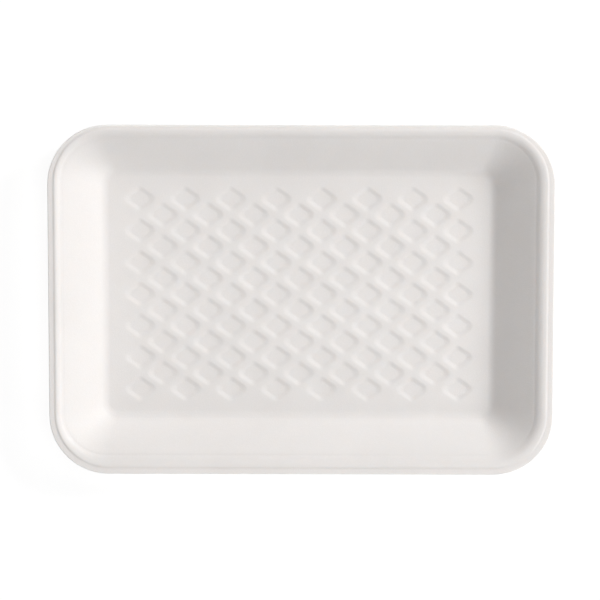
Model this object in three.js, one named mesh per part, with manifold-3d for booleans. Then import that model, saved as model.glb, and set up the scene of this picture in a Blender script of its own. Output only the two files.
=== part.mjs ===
// Shallow foam food tray, moulded in one piece from a sheet of white polystyrene foam.
//
// From the trimmed edge inwards it has a narrow flat flange, a low rise to a rounded bead, a shoulder
// that turns down into four sloping walls, and a flat floor pressed with a lattice of diamond pockets.
// The underside follows the inside at the thickness of the foam and rests on a flat, plain base.
//
// Millimetres, +Z up, long side along X. The origin is the middle of the trimmed outline, on the
// surface that the tray rests on.

import * as THREE from "three";
import Module from "manifold-3d";

const { degToRad, lerp } = THREE.MathUtils;

// ---- Driving dimensions -------------------------------------------------------------------------

// The whole tray
const trayLength = 209.55; // 8 1/4 in
const trayWidth = 146.05; // 5 3/4 in
const trayHeight = 16.5; // 0.65 in, to the top of the bead
const outlineRadius = 24.7; // at the corners of the trimmed edge

// Foam thickness
const floorThickness = 3.2;
const wallThickness = 3.0;
const flangeThickness = 2.4;

// Rim: a flat flange, then a low step up to the bead, measured along the bead's top
const beadLength = 203.45;
const beadWidth = 140.85;
const beadRadius = 21.9;
const beadRise = 0.22; // from the flange to the top of the bead
const stepWidth = 1.0; // over which it rises

// Mouth: the line where the shoulder is steepest
const mouthLength = 197.45;
const mouthWidth = 133.85;
const mouthRadius = 18.6;
const mouthAngle = degToRad(42);

// A narrow ledge just under the mouth, a little flatter than the wall
const ledgeWidth = 1.5;
const ledgeAngle = degToRad(30);

// The middle of the wall stands a little proud of a straight line
const wallBulge = 0.35;

// Floor: the line where the plane of each wall would meet the plane of the floor
const floorLength = 161.7;
const floorWidth = 102.0;
const floorRadius = 5.0;

// Fillets across the foam
const floorFillet = 6.0; // inside, between wall and floor
const baseFillet = 5.0; // underneath, between wall and base
const flangeFillet = 2.5; // underneath, between flange and wall

// The mould and the trimming die are not quite centred on each other, so everything moulded lies a
// little towards -X and +Y of the trimmed outline. The bead lies between the two.
const mouldShift = new THREE.Vector2(-0.98, 0.96);
const beadShift = new THREE.Vector2(-0.13, 0.65);

// Diamond pockets in the floor
const pocketRows = 13; // odd rows start and end half a pitch further in
const pocketsInLongRow = 8;
const pocketPitch = 18.96; // along X
const rowPitch = 6.68; // along Y
const pocketDepth = 0.4;
const pocketTop = 5.0; // centre to edge line, at the floor
const pocketBrow = 4.5; // the same, where the softened top edge ends
const browDepth = 0.06;
const pocketBottom = 2.5; // the same, at the bottom of the pocket
const pocketTopRadius = 2.4;
const pocketBottomRadius = 1.4;

// How finely the round forms are divided
const cornerTurn = degToRad(9); // from point to point round a corner of the tray
const shoulderSteps = 4;
const wallSteps = 4;
const filletSteps = 3;
const pocketTurn = degToRad(36); // the same, round a corner of a pocket

const foamColour = 0xf4f3f1;
const foamRoughness = 0.5;

// ---- Outlines -----------------------------------------------------------------------------------

// A closed outline, anticlockwise: an arc round each centre, joined by straight lines. Along an arc
// the direction turns by about the given angle from point to point.
function arcOutline(arcs, turn) {
  return arcs.flatMap(({ x, y, radius, from, to }) => {
    const steps = Math.round((to - from) / turn);
    return Array.from({ length: steps + 1 }, (_, step) => {
      const angle = lerp(from, to, step / steps);
      return new THREE.Vector2(x + radius * Math.cos(angle), y + radius * Math.sin(angle));
    });
  });
}

// A level ring of the tray: a rectangle with round corners at one height, its middle moved by shift.
function ring(halfX, halfY, radius, z, shift) {
  return { halfX, halfY, radius, z, shift };
}

function grow(base, by, z) {
  return ring(base.halfX + by, base.halfY + by, base.radius + by, z, base.shift);
}

function between(a, b, t, z) {
  return ring(
    lerp(a.halfX, b.halfX, t),
    lerp(a.halfY, b.halfY, t),
    lerp(a.radius, b.radius, t),
    z,
    a.shift.clone().lerp(b.shift, t),
  );
}

function ringPoints({ halfX, halfY, radius, z, shift }) {
  const signs = [
    [1, 1],
    [-1, 1],
    [-1, -1],
    [1, -1],
  ];
  const arcs = signs.map(([signX, signY], corner) => ({
    x: shift.x + signX * (halfX - radius),
    y: shift.y + signY * (halfY - radius),
    radius,
    from: (corner * Math.PI) / 2,
    to: ((corner + 1) * Math.PI) / 2,
  }));
  return arcOutline(arcs, cornerTurn).map((p) => new THREE.Vector3(p.x, p.y, z));
}

// A diamond with round corners, its sides parallel to the diagonals of the lattice. reach is the
// distance from its centre to each side.
const sideNormal = Math.atan2(pocketPitch / 2, rowPitch);

function pocketPoints(reach, radius, z, centre) {
  const inner = reach - radius;
  const tipX = inner / Math.cos(sideNormal);
  const tipY = inner / Math.sin(sideNormal);
  const arcs = [
    { x: tipX, y: 0, from: -sideNormal, to: sideNormal },
    { x: 0, y: tipY, from: sideNormal, to: Math.PI - sideNormal },
    { x: -tipX, y: 0, from: Math.PI - sideNormal, to: Math.PI + sideNormal },
    { x: 0, y: -tipY, from: Math.PI + sideNormal, to: 2 * Math.PI - sideNormal },
  ].map((arc) => ({ ...arc, radius }));
  return arcOutline(arcs, pocketTurn).map(
    (p) => new THREE.Vector3(centre.x + p.x, centre.y + p.y, z),
  );
}

// ---- Solids -------------------------------------------------------------------------------------

const wasm = await Module();
wasm.setup();

// A closed solid through outlines of equal length. The first outline is its lower or outer end and
// the last its upper or inner end, and both ends are capped.
function loft(outlines) {
  const count = outlines[0].length;
  const points = outlines.flat();
  const triangles = [];
  for (let level = 0; level + 1 < outlines.length; level++) {
    for (let i = 0; i < count; i++) {
      const next = (i + 1) % count;
      const a = level * count + i;
      const b = level * count + next;
      const c = a + count;
      const d = b + count;
      triangles.push([a, b, d], [a, d, c]);
    }
  }
  const last = (outlines.length - 1) * count;
  const flat = (outline) => outline.map((p) => new THREE.Vector2(p.x, p.y));
  for (const [a, b, c] of THREE.ShapeUtils.triangulateShape(flat(outlines[0]), [])) {
    triangles.push([a, c, b]);
  }
  for (const [a, b, c] of THREE.ShapeUtils.triangulateShape(flat(outlines.at(-1)), [])) {
    triangles.push([last + a, last + b, last + c]);
  }
  return new wasm.Manifold(
    new wasm.Mesh({
      numProp: 3,
      vertProperties: new Float32Array(points.flatMap((p) => p.toArray())),
      triVerts: new Uint32Array(triangles.flat()),
    }),
  );
}

function geometryOf(solid) {
  const { vertProperties, triVerts } = solid.getMesh();
  const geometry = new THREE.BufferGeometry();
  geometry.setAttribute("position", new THREE.BufferAttribute(vertProperties, 3));
  geometry.setIndex(new THREE.BufferAttribute(triVerts, 1));
  geometry.computeVertexNormals();
  return geometry;
}

// ---- The tray's rings ---------------------------------------------------------------------------

const flangeTop = trayHeight - beadRise;
const flangeBottom = flangeTop - flangeThickness;
const centred = new THREE.Vector2(0, 0);
const outline = ring(trayLength / 2, trayWidth / 2, outlineRadius, flangeTop, centred);
const bead = ring(beadLength / 2, beadWidth / 2, beadRadius, trayHeight, beadShift);

const mouthPlan = ring(mouthLength / 2, mouthWidth / 2, mouthRadius, 0, mouldShift);
const meanGap = (outer, inner) => (outer.halfX - inner.halfX + outer.halfY - inner.halfY) / 2;
const shoulderRadius = meanGap(bead, mouthPlan) / Math.sin(mouthAngle);
const mouth = { ...mouthPlan, z: trayHeight - shoulderRadius * (1 - Math.cos(mouthAngle)) };

const fold = ring(floorLength / 2, floorWidth / 2, floorRadius, floorThickness, mouldShift);
const wallAngle = Math.atan2(mouth.z - fold.z, meanGap(mouth, fold));

// The inside of the wall at height z, run on past the floor where z is lower than the floor.
function wallAt(z) {
  return between(mouth, fold, (mouth.z - z) / (mouth.z - fold.z), z);
}

// The outside of the wall at height z, a thickness of foam away from the inside.
function wallOutside(z) {
  return grow(wallAt(z), wallThickness / Math.sin(wallAngle), z);
}

// Rings of a fillet where a level face meets a wall that rises outwards from it, from the wall's
// angle down to level. The corner is the ring where the two would meet without the fillet.
function riseFillet(corner, radius) {
  const tangent = radius * Math.tan(wallAngle / 2);
  return Array.from({ length: filletSteps + 1 }, (_, step) => {
    const angle = wallAngle * (1 - step / filletSteps);
    return grow(
      corner,
      radius * Math.sin(angle) - tangent,
      corner.z + radius * (1 - Math.cos(angle)),
    );
  });
}

// Rings of the fillet under the flange, from the wall's angle out to level.
function flangeUnderside() {
  const corner = wallOutside(flangeBottom);
  const tangent = flangeFillet * Math.tan(wallAngle / 2);
  return Array.from({ length: filletSteps + 1 }, (_, step) => {
    const angle = wallAngle * (1 - step / filletSteps);
    return grow(
      corner,
      tangent - flangeFillet * Math.sin(angle),
      corner.z - flangeFillet * (1 - Math.cos(angle)),
    );
  });
}

// The shoulder, an arc from the level top of the bead down to the angle of the mouth.
function shoulder() {
  return Array.from({ length: shoulderSteps }, (_, step) => {
    const angle = (mouthAngle * (step + 1)) / shoulderSteps;
    return between(
      bead,
      mouth,
      Math.sin(angle) / Math.sin(mouthAngle),
      trayHeight - shoulderRadius * (1 - Math.cos(angle)),
    );
  });
}

// The wall, from just under the ledge to just above the fillet at the floor.
function wall(ledge, foot) {
  return Array.from({ length: wallSteps - 1 }, (_, step) => {
    const t = (step + 1) / wallSteps;
    return between(ledge, foot, t, lerp(ledge.z, foot.z, t) + wallBulge * 4 * t * (1 - t));
  });
}

function trayRings() {
  const underside = [...riseFillet(wallOutside(0), baseFillet).reverse(), ...flangeUnderside()];
  const rim = [
    { ...outline, z: flangeBottom },
    outline,
    grow(bead, stepWidth, flangeTop),
    bead,
  ];
  const ledge = grow(mouth, -ledgeWidth, mouth.z - ledgeWidth * Math.tan(ledgeAngle));
  const floorFold = riseFillet(fold, floorFillet);
  return [...underside, ...rim, ...shoulder(), ledge, ...wall(ledge, floorFold[0]), ...floorFold];
}

// ---- The pockets --------------------------------------------------------------------------------

function pocketCentres() {
  const centres = [];
  for (let row = 0; row < pocketRows; row++) {
    const inRow = pocketsInLongRow - (row % 2);
    for (let column = 0; column < inRow; column++) {
      centres.push(
        new THREE.Vector2(
          mouldShift.x + (column - (inRow - 1) / 2) * pocketPitch,
          mouldShift.y + (row - (pocketRows - 1) / 2) * rowPitch,
        ),
      );
    }
  }
  return centres;
}

// What the mould presses out of the floor at one pocket, open at the top.
function pocketCutter(centre) {
  const clear = floorThickness + 1;
  return loft([
    pocketPoints(pocketBottom, pocketBottomRadius, floorThickness - pocketDepth, centre),
    pocketPoints(pocketBrow, pocketTopRadius, floorThickness - browDepth, centre),
    pocketPoints(pocketTop, pocketTopRadius, floorThickness, centre),
    pocketPoints(pocketTop, pocketTopRadius, clear, centre),
  ]);
}

// ---- The object ---------------------------------------------------------------------------------

function makeTray() {
  let solid = loft(trayRings().map(ringPoints));
  for (const centre of pocketCentres()) {
    solid = solid.subtract(pocketCutter(centre));
  }
  const material = new THREE.MeshStandardMaterial({
    color: foamColour,
    roughness: foamRoughness,
    metalness: 0,
  });
  const mesh = new THREE.Mesh(geometryOf(solid), material);
  mesh.name = "tray";
  return mesh;
}

const group = new THREE.Group();
group.add(makeTray());

export default group;
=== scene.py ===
"""Foam food tray, seen nearly from above on a pale floor under soft studio light.

The tray is one moulded piece of white foam. Its shape comes from level rings, each a rectangle with
round corners, that run from the flat base up the outside, round the rim and down the inside to the
floor, and from a lattice of diamond pockets pressed in the floor. Sizes are in millimetres until the
mesh is made.
"""

import math

import bpy
import numpy as np
from mathutils import Matrix, Vector, noise
from mathutils.geometry import delaunay_2d_cdt


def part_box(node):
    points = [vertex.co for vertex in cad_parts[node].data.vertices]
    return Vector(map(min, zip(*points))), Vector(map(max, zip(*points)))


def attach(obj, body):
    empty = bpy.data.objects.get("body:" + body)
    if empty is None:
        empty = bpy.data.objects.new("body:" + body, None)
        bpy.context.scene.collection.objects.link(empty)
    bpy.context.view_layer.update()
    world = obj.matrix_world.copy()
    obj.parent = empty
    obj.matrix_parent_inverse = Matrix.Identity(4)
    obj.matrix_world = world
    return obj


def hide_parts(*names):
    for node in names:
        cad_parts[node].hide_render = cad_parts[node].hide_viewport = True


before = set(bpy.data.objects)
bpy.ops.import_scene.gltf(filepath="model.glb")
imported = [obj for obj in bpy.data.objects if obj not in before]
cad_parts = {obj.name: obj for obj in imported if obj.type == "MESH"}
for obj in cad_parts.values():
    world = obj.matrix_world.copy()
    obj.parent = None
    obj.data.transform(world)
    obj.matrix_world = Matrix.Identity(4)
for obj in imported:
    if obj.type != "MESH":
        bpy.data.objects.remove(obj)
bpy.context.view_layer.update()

MM = 0.001

# ---- Sizes of the tray, in millimetres ----------------------------------------------------------

box_low, box_high = (np.array(corner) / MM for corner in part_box("tray"))
TRAY_LENGTH, TRAY_WIDTH, TRAY_HEIGHT = box_high - box_low
OUTLINE_RADIUS = 24.7

FLOOR_THICKNESS = 3.2
WALL_THICKNESS = 3.0
FLANGE_THICKNESS = 2.4

BEAD_LENGTH = 203.45
BEAD_WIDTH = 140.85
BEAD_RADIUS = 21.9
BEAD_RISE = 0.22
STEP_WIDTH = 1.0
EDGE_ROUNDING = 0.3  # where the trimming die pressed the edges of the flange

MOUTH_LENGTH = 197.45
MOUTH_WIDTH = 133.85
MOUTH_RADIUS = 18.6
MOUTH_ANGLE = math.radians(42)
LEDGE_WIDTH = 1.5
LEDGE_ANGLE = math.radians(30)
WALL_BULGE = 0.35  # how far the middle of the wall stands proud of a straight line

FLOOR_LENGTH = 161.7
FLOOR_WIDTH = 102.0
FLOOR_RADIUS = 5.0

FLOOR_FILLET = 6.0
BASE_FILLET = 5.0
FLANGE_FILLET = 2.5

MOULD_SHIFT = np.array([-0.98, 0.96])
BEAD_SHIFT = np.array([-0.13, 0.65])

POCKET_ROWS = 13
POCKETS_IN_LONG_ROW = 8
POCKET_PITCH = 18.96
ROW_PITCH = 6.68
POCKET_DEPTH = 0.4
POCKET_TOP = 5.0
POCKET_BOTTOM = 2.5
POCKET_TOP_RADIUS = 2.4
POCKET_BOTTOM_RADIUS = 1.4

# How finely the forms are divided
CORNER_STEPS = 20
LONG_SIDE_STEPS = 60
SHORT_SIDE_STEPS = 36
FILLET_STEPS = 8
FLOOR_FILLET_STEPS = 10
OUTER_WALL_STEPS = 6
LOWER_ARRIS_STEPS = 3
UPPER_ARRIS_STEPS = 4
BEAD_STEPS = 10
SHOULDER_STEPS = 10
LEDGE_STEPS = 8
WALL_STEPS = 10
POCKET_CORNER_STEPS = 7
POCKET_RINGS = 9
BASE_INSETS = (4.0, 1.0)  # rings within the base, which keep it shaded flat
FLANGE_SHARES = (0.06, 0.3, 0.55, 0.8, 0.95)  # places of the rings across the flange
FLOOR_GRID = 2.4  # spacing of the points between the pockets
TOLERANCE = 1e-5

# Unevenness left by the mould. It starts WAVE_START in from the trimmed edge
WAVE_HEIGHT = 0.05
WAVE_LENGTH = 22.0
WAVE_START = 3.0
WAVE_RAMP = 6.0
WAVE_SLICE = 0.3  # the level at which the noise is cut


# ---- Rings --------------------------------------------------------------------------------------


class Ring:
    """A level rectangle with round corners, its middle moved by shift."""

    def __init__(self, half_x, half_y, radius, z, shift):
        self.half_x, self.half_y, self.radius = half_x, half_y, radius
        self.z, self.shift = z, shift

    def grow(self, by, z):
        return Ring(self.half_x + by, self.half_y + by, self.radius + by, z, self.shift)

    def towards(self, other, t, z):
        mix = lambda a, b: a + (b - a) * t
        return Ring(
            mix(self.half_x, other.half_x),
            mix(self.half_y, other.half_y),
            mix(self.radius, other.radius),
            z,
            mix(self.shift, other.shift),
        )

    def points(self):
        """The ring's points, anticlockwise from the start of the +X +Y corner."""
        x, y, r = self.half_x, self.half_y, self.radius
        angles = np.linspace(0, math.pi / 2, CORNER_STEPS + 1)
        loop = []
        sides = [(-1, 1, LONG_SIDE_STEPS), (-1, -1, SHORT_SIDE_STEPS),
                 (1, -1, LONG_SIDE_STEPS), (1, 1, SHORT_SIDE_STEPS)]
        corner = (1, 1)
        for quarter, (next_x, next_y, side_steps) in enumerate(sides):
            turn = angles + quarter * math.pi / 2
            centre = np.array([corner[0] * (x - r), corner[1] * (y - r)])
            arc = centre + r * np.stack([np.cos(turn), np.sin(turn)], axis=1)
            end = turn[-1]
            next_centre = np.array([next_x * (x - r), next_y * (y - r)])
            target = next_centre + r * np.array([math.cos(end), math.sin(end)])
            share = np.linspace(0, 1, side_steps + 1)[1:-1, None]
            loop.append(arc)
            loop.append(arc[-1] + (target - arc[-1]) * share)
            corner = (next_x, next_y)
        flat = np.concatenate(loop) + self.shift
        return np.column_stack([flat, np.full(len(flat), self.z)])


def mean_gap(outer, inner):
    return (outer.half_x - inner.half_x + outer.half_y - inner.half_y) / 2


flange_top = TRAY_HEIGHT - BEAD_RISE
flange_bottom = flange_top - FLANGE_THICKNESS
outline = Ring(TRAY_LENGTH / 2, TRAY_WIDTH / 2, OUTLINE_RADIUS, flange_top, np.zeros(2))
bead = Ring(BEAD_LENGTH / 2, BEAD_WIDTH / 2, BEAD_RADIUS, TRAY_HEIGHT, BEAD_SHIFT)
mouth = Ring(MOUTH_LENGTH / 2, MOUTH_WIDTH / 2, MOUTH_RADIUS, 0.0, MOULD_SHIFT)
shoulder_radius = mean_gap(bead, mouth) / math.sin(MOUTH_ANGLE)
mouth.z = TRAY_HEIGHT - shoulder_radius * (1 - math.cos(MOUTH_ANGLE))
fold = Ring(FLOOR_LENGTH / 2, FLOOR_WIDTH / 2, FLOOR_RADIUS, FLOOR_THICKNESS, MOULD_SHIFT)
wall_angle = math.atan2(mouth.z - fold.z, mean_gap(mouth, fold))


def wall_at(z):
    """The inside of the wall at height z, run on past the floor."""
    return mouth.towards(fold, (mouth.z - z) / (mouth.z - fold.z), z)


def wall_outside(z):
    return wall_at(z).grow(WALL_THICKNESS / math.sin(wall_angle), z)


def steps(count, first=0):
    """Shares from 0 to 1 in count equal steps, leaving out those before the first."""
    return [i / count for i in range(first, count + 1)]


def ease(t):
    """A share that starts and ends level."""
    return t * t * (3 - 2 * t)


def rise_fillet(corner, radius, count):
    """Rings from the wall's angle to level, where a wall rises outwards from a level face."""
    tangent = radius * math.tan(wall_angle / 2)
    rings = []
    for t in steps(count):
        angle = wall_angle * (1 - t)
        rings.append(corner.grow(radius * math.sin(angle) - tangent,
                                 corner.z + radius * (1 - math.cos(angle))))
    return rings


def flange_underside():
    """Rings from the wall's angle out to level, under the flange."""
    corner = wall_outside(flange_bottom)
    tangent = FLANGE_FILLET * math.tan(wall_angle / 2)
    rings = []
    for t in steps(FILLET_STEPS):
        angle = wall_angle * (1 - t)
        rings.append(corner.grow(tangent - FLANGE_FILLET * math.sin(angle),
                                 corner.z - FLANGE_FILLET * (1 - math.cos(angle))))
    return rings


def cut_edge():
    """Rings up the trimmed edge, with its two arrises rounded over."""
    rings = []
    for t in steps(LOWER_ARRIS_STEPS):
        angle = t * math.pi / 2
        rings.append(outline.grow(EDGE_ROUNDING * (math.sin(angle) - 1),
                                  flange_bottom + EDGE_ROUNDING * (1 - math.cos(angle))))
    rings.append(outline.grow(0.0, (flange_bottom + flange_top) / 2))
    for t in steps(UPPER_ARRIS_STEPS):
        angle = t * math.pi / 2
        rings.append(outline.grow(EDGE_ROUNDING * (math.cos(angle) - 1),
                                  flange_top - EDGE_ROUNDING * (1 - math.sin(angle))))
    return rings


def flange_and_bead():
    """Rings over the flange and up the low step to the top of the bead."""
    edge = outline.grow(-EDGE_ROUNDING, flange_top)
    foot = bead.grow(STEP_WIDTH, flange_top)
    rings = [edge.towards(foot, t, flange_top) for t in FLANGE_SHARES]
    for t in steps(BEAD_STEPS):
        rings.append(foot.towards(bead, t, flange_top + BEAD_RISE * ease(t)))
    return rings


def shoulder():
    """Rings over the rounded shoulder, from the bead down to the mouth."""
    rings = []
    for t in steps(SHOULDER_STEPS, first=1):
        angle = MOUTH_ANGLE * t
        rings.append(bead.towards(mouth, math.sin(angle) / math.sin(MOUTH_ANGLE),
                                  TRAY_HEIGHT - shoulder_radius * (1 - math.cos(angle))))
    return rings


def ledge_and_wall(end):
    """Rings from the mouth over the ledge and down the wall, as far as the ring end."""
    ledge = mouth.grow(-LEDGE_WIDTH, mouth.z - LEDGE_WIDTH * math.tan(LEDGE_ANGLE))
    angles = [MOUTH_ANGLE, MOUTH_ANGLE, LEDGE_ANGLE, LEDGE_ANGLE, wall_angle]
    places = [0.0, 0.15, 0.55, 0.85, 1.0]  # where on the ledge each of the angles is reached
    shares = steps(LEDGE_STEPS, first=1)
    slopes = [math.tan(np.interp(t - 0.5 / LEDGE_STEPS, places, angles)) for t in shares]
    drops = np.cumsum(slopes) / np.sum(slopes) * (mouth.z - ledge.z)
    rings = [mouth.towards(ledge, t, mouth.z - drop) for t, drop in zip(shares, drops)]
    for t in steps(WALL_STEPS, first=1)[:-1]:
        bulge = WALL_BULGE * 4 * t * (1 - t)
        rings.append(ledge.towards(end, t, ledge.z + (end.z - ledge.z) * t + bulge))
    return rings


def tray_rings():
    """All rings from the base to the floor, and which of the bands between them are the cut edge."""
    base = rise_fillet(wall_outside(0.0), BASE_FILLET, FILLET_STEPS)[::-1]
    base = [base[0].grow(-inset, 0.0) for inset in BASE_INSETS] + base
    low = base[-1]
    under = flange_underside()
    high = under[0]
    outside = [low.towards(high, t, low.z + (high.z - low.z) * t)
               for t in steps(OUTER_WALL_STEPS, first=1)[:-1]]
    floor_fold = rise_fillet(fold, FLOOR_FILLET, FLOOR_FILLET_STEPS)
    below = [*base, *outside, *under]
    cut = cut_edge()
    rings = [*below, *cut, *flange_and_bead(), *shoulder(), *ledge_and_wall(floor_fold[0]),
             *floor_fold]
    return rings, range(len(below), len(below) + len(cut) - 1)


# ---- Pockets ------------------------------------------------------------------------------------

SIDE_NORMAL = math.atan2(POCKET_PITCH / 2, ROW_PITCH)  # angle from +X of the normal of a side


def pocket_centres():
    """The middles of the pockets, in rows of eight and of seven by turns."""
    centres = []
    for row in range(POCKET_ROWS):
        in_row = POCKETS_IN_LONG_ROW - row % 2
        for column in range(in_row):
            centres.append(MOULD_SHIFT + np.array([
                (column - (in_row - 1) / 2) * POCKET_PITCH,
                (row - (POCKET_ROWS - 1) / 2) * ROW_PITCH,
            ]))
    return centres


def diamond(reach, radius, z, centre):
    """A diamond with round corners, anticlockwise. reach is from its centre to each side."""
    tip_x = (reach - radius) / math.cos(SIDE_NORMAL)
    tip_y = (reach - radius) / math.sin(SIDE_NORMAL)
    arcs = [((tip_x, 0), -SIDE_NORMAL, SIDE_NORMAL),
            ((0, tip_y), SIDE_NORMAL, math.pi - SIDE_NORMAL),
            ((-tip_x, 0), math.pi - SIDE_NORMAL, math.pi + SIDE_NORMAL),
            ((0, -tip_y), math.pi + SIDE_NORMAL, 2 * math.pi - SIDE_NORMAL)]
    points = []
    for (x, y), start, end in arcs:
        for angle in np.linspace(start, end, POCKET_CORNER_STEPS + 1):
            points.append((centre[0] + x + radius * math.cos(angle),
                           centre[1] + y + radius * math.sin(angle), z))
    return np.array(points)


def pocket_outlines(centre):
    """The pocket's outlines from the floor down to its bottom, with both edges softened."""
    outlines = []
    for t in steps(POCKET_RINGS):
        reach = POCKET_TOP + (POCKET_BOTTOM - POCKET_TOP) * t
        radius = POCKET_TOP_RADIUS + (POCKET_BOTTOM_RADIUS - POCKET_TOP_RADIUS) * t
        outlines.append(diamond(reach, radius, FLOOR_THICKNESS - POCKET_DEPTH * ease(t), centre))
    return outlines


# ---- The mesh -----------------------------------------------------------------------------------


def bands(first, count, levels):
    """Quads between levels of count points each, numbered on from first."""
    i = np.arange(count)
    j = (i + 1) % count
    faces = []
    for level in range(levels - 1):
        a = first + level * count
        faces.append(np.column_stack([a + i, a + j, a + j + count, a + i + count]))
    return np.concatenate(faces).tolist()


def floor_grid(edge, centres):
    """Points between the pockets, so that the floor can be a little uneven."""
    low, high = edge.min(axis=0) + FLOOR_GRID, edge.max(axis=0) - FLOOR_GRID
    normal = np.array([math.cos(SIDE_NORMAL), math.sin(SIDE_NORMAL)])
    clear = POCKET_TOP + 0.3 * FLOOR_GRID  # from a pocket's middle, across its side
    points = []
    for row, y in enumerate(np.arange(low[1], high[1], FLOOR_GRID * math.sqrt(3) / 2)):
        for x in np.arange(low[0] + (row % 2) * FLOOR_GRID / 2, high[0], FLOOR_GRID):
            offset = np.abs(np.array([x, y]) - centres)
            if (offset @ normal).min() > clear:
                points.append((x, y))
    return np.array(points)


def floor_faces(loops, extra):
    """Triangles that fill the first loop apart from the holes left by the others."""
    flat = np.concatenate([*loops, extra])
    owner = np.full(len(flat), -1)
    edges = []
    start = 0
    for number, loop in enumerate(loops):
        count = len(loop)
        owner[start:start + count] = number
        edges += [(start + i, start + (i + 1) % count) for i in range(count)]
        start += count
    made = delaunay_2d_cdt([Vector(p) for p in flat.tolist()], edges, [], 0, TOLERANCE)
    source = [origin[0] for origin in made[3]]
    faces = []
    for face in made[2]:
        corners = [source[v] for v in face]
        holes = {owner[c] for c in corners}
        if len(holes) == 1 and holes.pop() > 0:
            continue
        faces.append(corners)
    return faces


def tray_mesh():
    """The tray's points and faces, and the numbers of the faces on the cut edge."""
    rings, cut = tray_rings()
    rings = [ring.points() for ring in rings]
    count = len(rings[0])
    cut_faces = range(cut.start * count, cut.stop * count)
    points = [np.concatenate(rings)]
    faces = bands(0, count, len(rings))
    faces.append(list(range(count))[::-1])

    last = (len(rings) - 1) * count
    loops = [rings[-1][:, :2]]
    numbers = [np.arange(last, last + count)]
    total = len(points[0])
    centres = pocket_centres()
    for centre in centres:
        outlines = pocket_outlines(centre)
        side = len(outlines[0])
        loops.append(outlines[0][:, :2])
        numbers.append(np.arange(total, total + side))
        points.append(np.concatenate(outlines))
        faces += bands(total, side, len(outlines))
        bottom = total + (len(outlines) - 1) * side
        faces.append(list(range(bottom, bottom + side)))
        total += len(points[-1])

    extra = floor_grid(loops[0], np.array(centres))
    points.append(np.column_stack([extra, np.full(len(extra), FLOOR_THICKNESS)]))
    numbers.append(np.arange(total, total + len(extra)))
    index = np.concatenate(numbers)
    faces += [[int(index[v]) for v in face] for face in floor_faces(loops, extra)]
    return np.concatenate(points), faces, cut_faces


def uneven(points):
    """Moves all above the pockets' bottoms up or down a little, as foam does out of the mould."""
    moved = points.copy()
    inset = np.minimum(TRAY_LENGTH / 2 - np.abs(points[:, 0]), TRAY_WIDTH / 2 - np.abs(points[:, 1]))
    fade = np.clip((inset - WAVE_START) / WAVE_RAMP, 0, 1)
    above = points[:, 2] >= FLOOR_THICKNESS - POCKET_DEPTH - TOLERANCE
    for i in np.nonzero(above & (fade > 0))[0]:
        x, y, z = points[i]
        wave = noise.noise(Vector((x / WAVE_LENGTH, y / WAVE_LENGTH, WAVE_SLICE)))
        moved[i, 2] = z + WAVE_HEIGHT * wave * fade[i]
    moved[:, 2] = np.minimum(moved[:, 2], TRAY_HEIGHT)
    return moved


def smooth_mesh(name, points, faces, skin, cut, cut_faces):
    """An object of smooth-shaded faces in the material skin, apart from cut_faces, which have cut."""
    mesh = bpy.data.meshes.new(name)
    mesh.from_pydata((points * MM).tolist(), [], faces)
    mesh.update()
    mesh.polygons.foreach_set("use_smooth", [True] * len(mesh.polygons))
    mesh.materials.append(skin)
    mesh.materials.append(cut)
    for face in cut_faces:
        mesh.polygons[face].material_index = 1
    piece = bpy.data.objects.new(name, mesh)
    bpy.context.scene.collection.objects.link(piece)
    return piece


# ---- Materials ----------------------------------------------------------------------------------

# Scales of the noises, in 1/m, and what they do to the foam
PATCH_SCALE = 45.0
PATCH_RANGE = (0.3, 0.7)  # the part of the noise that runs through the patches' colours
PEEL_SCALE = 420.0
CELL_TONE = (0.968, 1.01)  # the colour's factor in the middle of a cell and at its walls
GLOSS_SWING = 0.07
CELL_STRENGTH = 0.5
PEEL_STRENGTH = 0.3
SPECULAR = 0.35
SPREAD_WEIGHT = 0.8  # of light below the surface
SPREAD_COLOUR = (1.0, 0.95, 0.9)
SPREAD_DISTANCE = 0.001
MIX_COLOUR_A = 6  # the numbers of the Mix node's two colour inputs
MIX_COLOUR_B = 7


class Nodes:
    """Short calls for building a material's node tree."""

    def __init__(self, name):
        self.material = bpy.data.materials.new(name)
        self.material.use_nodes = True
        self.tree = self.material.node_tree
        self.tree.nodes.clear()

    def add(self, kind, **values):
        """A new node. Each value is one of its settings or else goes to the input of that name."""
        node = self.tree.nodes.new(kind)
        for key, value in values.items():
            if hasattr(node, key):
                setattr(node, key, value)
            else:
                self.feed(node, key.replace("_", " "), value)
        return node

    def feed(self, node, name, value):
        """Links an output to one of the node's inputs, or sets the input to a plain value."""
        socket = node.inputs[name]
        if isinstance(value, bpy.types.NodeSocket):
            self.tree.links.new(value, socket)
        else:
            socket.default_value = value

    def remap(self, source, **limits):
        """The value source brought from one range to another. Limits left out are 0 and 1."""
        return self.add("ShaderNodeMapRange", Value=source, **limits).outputs["Result"]

    def bump(self, height, strength, distance, **under):
        """A bump's normal. The normal of a bump under it is given as Normal."""
        node = self.add("ShaderNodeBump", Height=height, Strength=strength, Distance=distance,
                        **under)
        return node.outputs["Normal"]

    def finish(self, shader):
        out = self.add("ShaderNodeOutputMaterial")
        self.feed(out, "Surface", shader.outputs["BSDF"])
        return self.material


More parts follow.
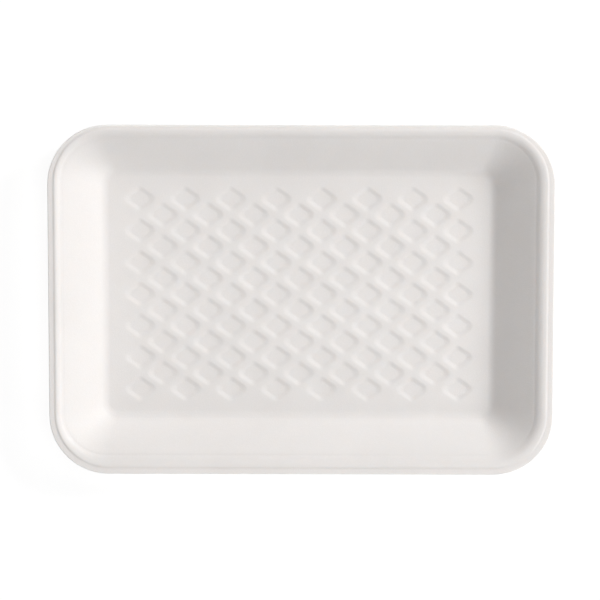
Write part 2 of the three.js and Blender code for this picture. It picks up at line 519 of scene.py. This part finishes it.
def foam_material(name, shades, cells_per_metre, cell_height, roughness, peel_height):
    """White closed-cell foam. shades are the darkest and the lightest colour of its soft patches."""
    n = Nodes(name)
    place = n.add("ShaderNodeTexCoord").outputs["Object"]
    patches = n.add("ShaderNodeTexNoise", Vector=place, Scale=PATCH_SCALE, Detail=3.0,
                    Roughness=0.5).outputs["Fac"]
    cells = n.add("ShaderNodeTexVoronoi", Vector=place, Scale=cells_per_metre).outputs["Distance"]
    peel = n.add("ShaderNodeTexNoise", Vector=place, Scale=PEEL_SCALE, Detail=4.0,
                 Roughness=0.55).outputs["Fac"]

    cloud = n.add("ShaderNodeMix", data_type="RGBA")
    n.feed(cloud, 0, n.remap(patches, From_Min=PATCH_RANGE[0], From_Max=PATCH_RANGE[1]))
    n.feed(cloud, MIX_COLOUR_A, (*shades[0], 1))
    n.feed(cloud, MIX_COLOUR_B, (*shades[1], 1))
    colour = n.add("ShaderNodeVectorMath", operation="SCALE", Vector=cloud.outputs[2])
    n.feed(colour, "Scale", n.remap(cells, To_Min=CELL_TONE[0], To_Max=CELL_TONE[1]))
    gloss = n.remap(peel, To_Min=roughness - GLOSS_SWING, To_Max=roughness + GLOSS_SWING)
    cell_bump = n.bump(cells, CELL_STRENGTH, cell_height)

    shader = n.add("ShaderNodeBsdfPrincipled")
    n.feed(shader, "Base Color", colour.outputs["Vector"])
    n.feed(shader, "Roughness", gloss)
    n.feed(shader, "Normal", n.bump(peel, PEEL_STRENGTH, peel_height, Normal=cell_bump))
    n.feed(shader, "Specular IOR Level", SPECULAR)
    n.feed(shader, "Subsurface Weight", SPREAD_WEIGHT)
    n.feed(shader, "Subsurface Radius", SPREAD_COLOUR)
    n.feed(shader, "Subsurface Scale", SPREAD_DISTANCE)
    return n.finish(shader)


def skin_material():
    """The closed skin that the mould left."""
    return foam_material("foam_skin", shades=((0.894, 0.863, 0.843), (0.914, 0.883, 0.864)),
                         cells_per_metre=2400.0, cell_height=0.00005, roughness=0.5,
                         peel_height=0.00006)


def cut_material():
    """Where the die cut through the foam and left its cells open."""
    return foam_material("foam_cut", shades=((0.87, 0.845, 0.825), (0.92, 0.895, 0.875)),
                         cells_per_metre=1200.0, cell_height=0.0004, roughness=0.7,
                         peel_height=0.00012)


# ---- Stage, light and camera --------------------------------------------------------------------

FLOOR_SIZE = 6.0  # metres
FLOOR_GAP = 0.0001  # keeps the floor from lying in the plane of the tray's base
FLOOR_SHADE = 0.3
FLOOR_GLOW = 0.79

# Each softbox: azimuth from +X and elevation in degrees, distance and size in metres, power in watts
SOFTBOXES = {
    "key": (28, 28, 3.0, 0.8, 47.0),
    "overhead": (0, 80, 3.0, 2.0, 42.0),
    "back_fill": (95, 22, 3.0, 1.2, 18.5),
    "side_fill": (-32, 24, 3.0, 0.8, 9.0),
    "front_fill": (-90, 22, 3.0, 1.2, 19.0),
}
WORLD_LIGHT = 0.02

# The camera looks at a point just off the middle of the flange, from slightly above the vertical
CAMERA_DISTANCE = 1.5
CAMERA_TILT_TO_BACK = math.radians(8.13)
CAMERA_TILT_TO_RIGHT = math.radians(0.53)
CAMERA_ROLL = math.radians(0.045)
CAMERA_AIM = Vector((-0.418, 0.435, 16.35)) * MM
CAMERA_LENS = 217.25  # with a sensor 36 mm wide


def floor_material():
    """Pale and matt, with a glow of its own that keeps it white in the shade."""
    n = Nodes("pale_floor")
    shader = n.add("ShaderNodeBsdfPrincipled")
    n.feed(shader, "Base Color", (FLOOR_SHADE, FLOOR_SHADE, FLOOR_SHADE, 1))
    n.feed(shader, "Roughness", 0.8)
    n.feed(shader, "Specular IOR Level", 0.0)
    n.feed(shader, "Emission Color", (1, 1, 1, 1))
    n.feed(shader, "Emission Strength", FLOOR_GLOW)
    return n.finish(shader)


def make_floor():
    half = FLOOR_SIZE / 2
    corners = [(x, y, -FLOOR_GAP) for x, y in
               ((-half, -half), (half, -half), (half, half), (-half, half))]
    mesh = bpy.data.meshes.new("floor")
    mesh.from_pydata(corners, [], [(0, 1, 2, 3)])
    mesh.materials.append(floor_material())
    floor = bpy.data.objects.new("floor", mesh)
    bpy.context.scene.collection.objects.link(floor)


def make_light():
    for name, (azimuth, elevation, distance, size, power) in SOFTBOXES.items():
        light = bpy.data.lights.new(name, "AREA")
        light.shape = "SQUARE"
        light.size = size
        light.energy = power
        lamp = bpy.data.objects.new(name, light)
        turn, rise = math.radians(azimuth), math.radians(elevation)
        away = Vector((math.cos(rise) * math.cos(turn), math.cos(rise) * math.sin(turn),
                       math.sin(rise)))
        lamp.location = away * distance
        lamp.rotation_euler = away.to_track_quat("Z", "Y").to_euler()
        bpy.context.scene.collection.objects.link(lamp)
    world = bpy.data.worlds.new("studio")
    world.use_nodes = True
    background = world.node_tree.nodes["Background"]
    background.inputs["Color"].default_value = (1, 1, 1, 1)
    background.inputs["Strength"].default_value = WORLD_LIGHT
    bpy.context.scene.world = world


def make_camera():
    data = bpy.data.cameras.new("camera")
    data.lens = CAMERA_LENS
    data.sensor_width = 36
    data.clip_end = 20
    camera = bpy.data.objects.new("camera", data)
    back = Vector((math.tan(CAMERA_TILT_TO_RIGHT), math.tan(CAMERA_TILT_TO_BACK), 1)).normalized()
    right = Vector((0, 1, 0)).cross(back).normalized()
    up = back.cross(right)
    roll_right = right * math.cos(CAMERA_ROLL) + up * math.sin(CAMERA_ROLL)
    roll_up = up * math.cos(CAMERA_ROLL) - right * math.sin(CAMERA_ROLL)
    turn = Matrix((roll_right, roll_up, back)).transposed()
    camera.matrix_world = Matrix.Translation(CAMERA_AIM + back * CAMERA_DISTANCE) @ turn.to_4x4()
    bpy.context.scene.collection.objects.link(camera)
    bpy.context.scene.camera = camera


# ---- The scene ----------------------------------------------------------------------------------

make_camera()
make_light()
make_floor()
bpy.context.scene.view_settings.view_transform = "Standard"

tray_points, tray_faces, tray_cut = tray_mesh()
tray = smooth_mesh("foam_tray", uneven(tray_points), tray_faces, skin_material(), cut_material(),
                   tray_cut)
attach(tray, "root")
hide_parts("tray")
